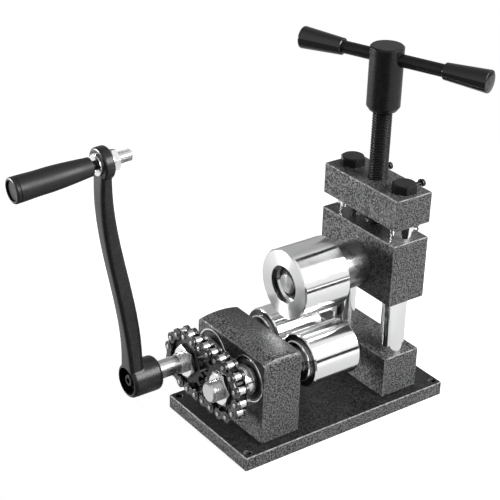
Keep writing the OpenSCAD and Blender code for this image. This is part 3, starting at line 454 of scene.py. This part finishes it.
def thread_rows(start, end, radius, pitch, depth, steps=8):
    """Rows of a right-hand thread between two places along a rod."""
    count = max(1, round((end - start) / pitch * steps))
    rows = []
    for i in range(count + 1):
        along = start + (end - start) * i / count
        fade = min(1, i / steps, (count - i) / steps)
        rows.append((along, radius, pitch, depth * fade))
    return rows


def plain_rows(*points):
    return [(along, radius, 1.0, 0.0) for radius, along in points]


def groove(turn):
    """Share of the thread depth at a place within one pitch: flat crest, sloped flanks, flat root."""
    crest = 0.12
    flank = 0.72
    away = abs(2 * (turn % 1) - 1)
    return min(1, max(0, (away - crest) / flank))


def turned_rod(name, rows, centre, axis, sides=64):
    """A turned and threaded rod about the X or Z axis through a centre point."""
    rings = []
    for along, radius, pitch, depth in rows:
        ring = []
        for k in range(sides):
            angle = 2 * math.pi * k / sides
            r = radius - depth * groove(along / pitch - k / sides)
            across, up = r * math.cos(angle), r * math.sin(angle)
            if axis == "X":
                ring.append((along, centre.y + across, centre.z + up))
            else:
                ring.append((centre.x + across, centre.y + up, along))
        rings.append(ring)
    return make_object(name, *closed_loft(rings))


# The grip's axis, which leans a little where it passes the crank's eye
grip_joint = next(joint for joint in frame["joints"] if joint["name"] == "grip_spin")
eye = Vector(grip_joint["pos_m"])
lean = Vector((1, 0, 0)).rotation_difference(Vector(grip_joint["axis"])).to_matrix()


def leaned(point):
    """Where a point about a level axis through the eye lies on the leaning one."""
    return eye + lean @ (point - eye)


def level_span(node):
    """How far a piece on the grip's axis reaches along X, and away from that axis, before its lean."""
    points = [lean.transposed() @ (vertex.co - eye) for vertex in nodes[node].data.vertices]
    along = [eye.x + point.x for point in points]
    return min(along), max(along), max(math.hypot(point.y, point.z) for point in points)


# Threaded rods
def press_screw():
    low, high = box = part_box("lead_screw")
    hub_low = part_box("tee_hub")[0].z
    slide_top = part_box("slide_block")[1].z
    radius = (high.x - low.x) / 2
    pitch = 2 * MM
    depth = 1 * MM
    chamfer = 1 * MM
    run_out = 0.5 * MM
    hidden = 2 * MM
    tip_r = radius - 2 * MM
    tip_top = slide_top + 1 * MM
    rows = plain_rows((tip_r - chamfer, low.z), (tip_r, low.z + chamfer))
    rows += plain_rows((tip_r, tip_top), (radius - depth, tip_top))
    rows += thread_rows(tip_top + run_out, hub_low + hidden, radius, pitch, depth)
    rows += plain_rows((radius, high.z))
    stand_for(turned_rod("lead_screw_threaded", rows, middle(box), "Z"), "screw", "lead_screw")


# Thread and far end of both lower shafts
shaft_pitch = 1.5 * MM
shaft_groove = 0.8 * MM
shaft_chamfer = 1 * MM


def drive_shaft():
    low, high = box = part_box("drive_shaft")
    radius = (high.y - low.y) / 2
    stub_r = 6.5 * MM
    proud = 5.3 * MM
    nut_low, nut_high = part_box("drive_nut")
    thread_end = nut_low.x - proud
    rows = plain_rows((stub_r, low.x), (stub_r, thread_end), (radius - shaft_chamfer, thread_end))
    rows += thread_rows(thread_end + shaft_chamfer, nut_high.x, radius, shaft_pitch, shaft_groove)
    rows += plain_rows((radius, high.x - shaft_chamfer), (radius - shaft_chamfer, high.x))
    stand_for(turned_rod("drive_shaft_threaded", rows, middle(box), "X"), "crank", "drive_shaft")


def driven_shaft():
    low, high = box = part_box("driven_shaft")
    radius = (high.y - low.y) / 2
    nut_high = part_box("driven_nut")[1]
    tip_chamfer = 1.2 * MM
    rows = plain_rows((radius - tip_chamfer, low.x))
    rows += thread_rows(low.x + tip_chamfer, nut_high.x, radius, shaft_pitch, shaft_groove)
    rows += plain_rows((radius, high.x - shaft_chamfer), (radius - shaft_chamfer, high.x))
    stand_for(turned_rod("driven_shaft_threaded", rows, middle(box), "X"), "driven", "driven_shaft")


def grip_spindle():
    x0, x1, head_r = level_span("grip_spindle")
    shoulder_x = level_span("spindle_washers")[0]
    stud_r = 4 * MM
    neck_r = 2.5 * MM
    head_l = 4 * MM
    pitch = 1.25 * MM
    depth = 0.7 * MM
    chamfer = 1 * MM
    run_out = 0.5 * MM
    sides = 48
    rows = plain_rows((head_r, x0), (head_r, x0 + head_l), (neck_r, x0 + head_l))
    rows += plain_rows((neck_r, shoulder_x), (stud_r, shoulder_x))
    rows += thread_rows(shoulder_x + run_out, x1 - chamfer, stud_r, pitch, depth)
    rows += plain_rows((stud_r - chamfer, x1))
    made = turned_rod("grip_spindle_threaded", rows, eye, "X", sides)
    for vertex in made.data.vertices:
        vertex.co = leaned(vertex.co)
    stand_for(made, "crank", "grip_spindle")


# Return springs
def return_spring(node):
    """Close-wound wire with a round hook at each end, hung on the spring pins."""
    coil_r = 2.7 * MM
    wire_r = 0.6 * MM
    turns = 18
    curl_steps = 24
    hook_steps = 36
    hook_sweep = math.radians(285)
    sides = 12
    low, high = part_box(node)
    axis = Vector((low.x + coil_r + wire_r, (low.y + high.y) / 2, 0))
    foot = middle(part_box("lower_spring_pins")).z + coil_r
    head = middle(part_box("upper_spring_pins")).z - coil_r
    pitch = (head - foot) / turns
    steps = []
    for i in range(hook_steps):
        a = -hook_sweep * (hook_steps - i) / hook_steps
        spot = Vector((coil_r, coil_r * math.sin(a), foot + coil_r * (math.cos(a) - 1)))
        steps.append((spot, Vector((1, 0, 0)), Vector((0, math.cos(a), -math.sin(a)))))
    for i in range(turns * curl_steps + 1):
        a = 2 * math.pi * i / curl_steps
        out = Vector((math.cos(a), math.sin(a), 0))
        run = Vector((-coil_r * math.sin(a), coil_r * math.cos(a), pitch / 2 / math.pi)).normalized()
        steps.append((coil_r * out + Vector((0, 0, foot + pitch * i / curl_steps)), out, run))
    for i in range(1, hook_steps + 1):
        a = hook_sweep * i / hook_steps
        spot = Vector((coil_r, coil_r * math.sin(a), head + coil_r * (1 - math.cos(a))))
        steps.append((spot, Vector((1, 0, 0)), Vector((0, math.cos(a), math.sin(a)))))
    around = [2 * math.pi * k / sides for k in range(sides)]
    rings = []
    for spot, out, run in steps:
        side = run.cross(out)
        rings.append([axis + spot + wire_r * (math.cos(a) * out + math.sin(a) * side) for a in around])
    spring = make_object(node + "_wound", *closed_loft(rings))
    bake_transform(spring, "frame", "slide", start=(axis.x, axis.y, head), end=(axis.x, axis.y, foot))
    stand_for(spring, "frame", node)


# Crank arm
def rounded_section(centre, thick, wide, radius, corner_steps=6):
    """Points of a rounded rectangle in a level plane."""
    points = []
    for turn in range(4):
        corner = Vector((
            (thick / 2 - radius) * (1, -1, -1, 1)[turn],
            (wide / 2 - radius) * (1, 1, -1, -1)[turn],
            0,
        ))
        for i in range(corner_steps + 1):
            a = math.pi / 2 * (turn + i / corner_steps)
            points.append(centre + corner + radius * Vector((math.cos(a), math.sin(a), 0)))
    return points


def drum(x0, x1, radius, centre, rounding, sides=72):
    """Rings of a round-edged drum along X."""
    steps = 5
    outline = [(x0, radius - rounding)]
    for i in range(1, steps + 1):
        a = math.pi / 2 * i / steps
        outline.append((x0 + rounding * (1 - math.cos(a)), radius - rounding * (1 - math.sin(a))))
    for i in range(steps + 1):
        a = math.pi / 2 * i / steps
        outline.append((x1 - rounding * (1 - math.sin(a)), radius - rounding * (1 - math.cos(a))))
    around = [2 * math.pi * k / sides for k in range(sides)]
    return [
        [Vector((x, centre.y + r * math.cos(a), centre.z + r * math.sin(a))) for a in around]
        for x, r in outline
    ]


def eye_drum(x0, x1, radius, rounding):
    """A drum about the leaning axis through the crank's eye."""
    return [[leaned(point) for point in ring] for ring in drum(x0, x1, radius, eye, rounding)]


def join_lofts(name, lofts):
    vertices = []
    faces = []
    for ring_set in lofts:
        points, quads = closed_loft(ring_set)
        faces += [tuple(len(vertices) + i for i in quad) for quad in quads]
        vertices += points
    return make_object(name, vertices, faces)


def apply_modifiers(made):
    bpy.context.view_layer.update()
    shaped = made.evaluated_get(bpy.context.evaluated_depsgraph_get())
    mesh = bpy.data.meshes.new_from_object(shaped)
    made.modifiers.clear()
    made.data = mesh


def cut(made, rings):
    """Take a turned shape out of a piece."""
    tool = make_object("cutter", *closed_loft(rings))
    step = made.modifiers.new("cut", "BOOLEAN")
    step.operation = "DIFFERENCE"
    step.solver = "EXACT"
    step.object = tool
    apply_modifiers(made)
    bpy.data.objects.remove(tool)


def crank_arm():
    """A cast crank: bent arm, recessed hub and drilled eye, run together with small fillets."""
    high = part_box("crank_arm")[1]
    shaft = middle(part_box("drive_nut"))
    hub_r = 12.5 * MM
    hub_l = 23 * MM
    eye_r = 11 * MM
    eye_t = 7.6 * MM
    spot = 3 * MM
    spot_r = level_span("spindle_washers")[2] + 0.3 * MM
    hub_t = 9 * MM
    end_t = 7.2 * MM
    waist_t = 12.4 * MM
    hub_w = 18 * MM
    waist_w = 10 * MM
    eye_w = 14 * MM
    waist_h = 55 * MM
    edge_r = 2.6 * MM
    recess_r = 10 * MM
    recess = 7 * MM
    bore_r = 6.5 * MM
    stud_r = 4 * MM
    hub_rounding = 2.2 * MM
    eye_rounding = 1.2 * MM
    recess_rounding = 0.3 * MM
    bore_rounding = 0.2 * MM
    spot_rounding = 0.1 * MM
    bend_in = 15 * MM
    over = 1 * MM
    arm_steps = 60
    grain = 0.75 * MM
    hub_x1 = high.x
    hub_x0 = hub_x1 - hub_l
    eye_x0 = eye.x - eye_t / 2
    eye_x1 = eye.x + eye_t / 2
    from_x = hub_x0 + hub_t / 2
    reach = eye.z - shaft.z
    arm = []
    for i in range(arm_steps + 1):
        h = reach * i / arm_steps
        share = min(1, max(0, (h - bend_in) / (reach - 2 * bend_in)))
        soft = share * share * (3 - 2 * share)
        lower = h < waist_h
        off_waist = ((h - waist_h) / (waist_h if lower else reach - waist_h)) ** 2
        centre = Vector((from_x + (eye.x - from_x) * soft, shaft.y, shaft.z + h))
        thick = waist_t + ((hub_t if lower else end_t) - waist_t) * off_waist
        wide = waist_w + ((hub_w if lower else eye_w) - waist_w) * off_waist
        arm.append(rounded_section(centre, thick, wide, edge_r))
    made = join_lofts("crank_arm_cast", [
        arm,
        drum(hub_x0, hub_x1, hub_r, shaft, hub_rounding),
        eye_drum(eye_x0, eye_x1, eye_r, eye_rounding),
    ])
    remesh = made.modifiers.new("cast", "REMESH")
    remesh.mode = "VOXEL"
    remesh.voxel_size = grain
    soften = made.modifiers.new("soften", "SMOOTH")
    soften.factor = 0.5
    soften.iterations = 6
    apply_modifiers(made)
    cut(made, drum(hub_x0 - over, hub_x0 + recess, recess_r, shaft, recess_rounding))
    cut(made, drum(hub_x0 + recess - over, hub_x1 + over, bore_r, shaft, bore_rounding))
    cut(made, eye_drum(eye_x0 - over, eye_x1 + over, stud_r, bore_rounding))
    cut(made, eye_drum(eye_x0 - spot, eye_x0, spot_r, spot_rounding))
    cut(made, eye_drum(eye_x1, eye_x1 + spot, spot_r, spot_rounding))
    shade(made, math.radians(40))
    stand_for(made, "crank", "crank_arm")


press_screw()
drive_shaft()
driven_shaft()
grip_spindle()
return_spring("return_spring_rear")
return_spring("return_spring_front")
crank_arm()


# Camera
def camera():
    stand = (-0.58347, -0.70951, 0.59472)
    azimuth = math.radians(-36.35)
    elevation = math.radians(27.13)
    roll = math.radians(1.7)
    sensor_width = 36
    focal_length = 105.27
    shift_x, shift_y = 0.0112, -0.001
    made = bpy.data.objects.new("camera", bpy.data.cameras.new("camera"))
    bpy.context.scene.collection.objects.link(made)
    level = math.cos(elevation)
    back = Vector((math.sin(azimuth) * level, -math.cos(azimuth) * level, math.sin(elevation)))
    right = (-back).cross(Vector((0, 0, 1))).normalized()
    up = right.cross(-back)
    tilted_right = math.cos(roll) * right + math.sin(roll) * up
    tilted_up = math.cos(roll) * up - math.sin(roll) * right
    turn = Matrix((tilted_right, tilted_up, back)).transposed().to_4x4()
    made.matrix_world = Matrix.Translation(stand) @ turn
    made.data.sensor_width = sensor_width
    made.data.lens = focal_length
    made.data.shift_x = shift_x
    made.data.shift_y = shift_y
    made.data.clip_start = 0.05
    bpy.context.scene.camera = made


# Studio
def by_ray(tree, camera_level, mirror_level, other_level):
    """A level for each kind of ray: from the camera, straight off or through surfaces, and the rest."""
    path = add_node(tree, "ShaderNodeLightPath").outputs
    straight = maths(tree, "LESS_THAN", path["Diffuse Depth"], 0.5)
    mirrored = maths(tree, "MAXIMUM", path["Is Glossy Ray"], path["Is Transmission Ray"])
    mirrored = maths(tree, "MULTIPLY", mirrored, straight)
    level = other_level
    for ray, shown in ((mirrored, mirror_level), (path["Is Camera Ray"], camera_level)):
        level = blend_value(tree, ray, level, shown)
    return level


def world():
    """A white room. Mirrors see it greyer behind, dark under the bench edge and bright low at the back."""
    behind = 0.45
    under_bench = 0.25
    glow_toward = (-0.45, 0.76, -0.46)
    glow_level = 0.9
    fill = 0.05
    made = bpy.data.worlds.new("studio")
    made.use_nodes = True
    tree = made.node_tree
    tree.nodes.clear()
    toward = add_node(tree, "ShaderNodeTexCoord").outputs["Generated"]
    side = split(tree, toward)
    walls = ranged(tree, side["Y"], 0.05, 0.4, 1.0, behind)
    room = maths(tree, "MULTIPLY", walls, ranged(tree, side["Z"], -0.08, 0.02, under_bench, 1.0))
    nearness = vector_maths(tree, "DOT_PRODUCT", toward, glow_toward)
    glow = ranged(tree, nearness, 0.78, 0.93, 0.0, glow_level)
    level = by_ray(tree, 1.0, maths(tree, "ADD", room, glow), fill)
    light = add_node(tree, "ShaderNodeBackground", {"Color": (1, 1, 1, 1), "Strength": level})
    add_node(tree, "ShaderNodeOutputWorld", {"Surface": light.outputs[0]})
    bpy.context.scene.world = made


def floor():
    """A pale bench top that fades into the background.

    Its edge lies beside the base plate, where the crank swings past it, and from below it is clear.
    """
    bench_edge = -0.105
    reach = 2.5
    level = -0.2 * MM
    bench_tone = 0.9
    bounce_tone = 0.2
    shadow_lift = 0.7
    fade_start, fade_end = 0.2, 0.6
    made = make_object("floor", [
        (bench_edge, -reach, level), (reach, -reach, level), (reach, reach, level), (bench_edge, reach, level)
    ], [(0, 1, 2, 3)])
    if made.data.polygons[0].normal.z < 0:
        made.data.flip_normals()
    material, tree, shader = new_material("bench_top")
    tree.nodes.remove(shader)
    tone = by_ray(tree, bench_tone, bench_tone, bounce_tone)
    pale = add_node(tree, "ShaderNodeBsdfDiffuse", {"Color": tone})
    lift = by_ray(tree, shadow_lift, 0.0, 0.0)
    glow = add_node(tree, "ShaderNodeEmission", {"Color": (1, 1, 1, 1), "Strength": lift})
    both = add_node(tree, "ShaderNodeAddShader", {0: pale.outputs[0], 1: glow.outputs[0]})
    clear = add_node(tree, "ShaderNodeBsdfTransparent")
    below = add_node(tree, "ShaderNodeNewGeometry").outputs["Backfacing"]
    away = vector_maths(tree, "LENGTH", place(tree))
    faded = by_ray(tree, ranged(tree, away, fade_start, fade_end, 0, 1), 0.0, 0.0)
    gone = maths(tree, "MAXIMUM", below, faded)
    shown = add_node(tree, "ShaderNodeMixShader", {0: gone, 1: both.outputs[0], 2: clear.outputs[0]})
    tree.links.new(shown.outputs[0], tree.nodes["Material Output"].inputs["Surface"])
    made.data.materials.append(material)


def softbox(name, place_at, aim, width, height, power):
    data = bpy.data.lights.new(name, "AREA")
    data.shape = "RECTANGLE"
    data.size = width
    data.size_y = height
    data.energy = power
    made = bpy.data.objects.new(name, data)
    bpy.context.scene.collection.objects.link(made)
    made.location = place_at
    made.rotation_mode = "QUATERNION"
    made.rotation_quaternion = (Vector(aim) - Vector(place_at)).to_track_quat("-Z", "Y")


def dark_strip():
    """A narrow dark card in front that only mirrors see: the gap between bench and softbox."""
    y = -0.166
    z0, z1 = 0.062, 0.088
    x0, x1 = -0.3, 0.6
    mottle_size = 5 * MM
    corners = [(x0, y, z0), (x1, y, z0), (x1, y, z1), (x0, y, z1)]
    made = make_object("dark_strip", corners, [(0, 1, 2, 3)])
    material, tree, shader = new_material("dark_card")
    mottled = blend_colour(tree, noise(tree, mottle_size), grey(0.008), grey(0.012))
    tree.links.new(mottled, shader.inputs["Base Color"])
    shader.inputs["Roughness"].default_value = 1.0
    made.data.materials.append(material)
    made.visible_camera = False
    made.visible_diffuse = False
    made.visible_shadow = False


bpy.context.scene.view_settings.view_transform = "Standard"
camera()
world()
floor()
softbox("key", place_at=(0.5, -0.95, 0.8), aim=(0, 0, 0.1), width=1.0, height=0.7, power=24)
softbox("left", place_at=(-0.9, 0.95, 0.2), aim=(0, 0, 0.12), width=0.3, height=0.3, power=24)
dark_strip()
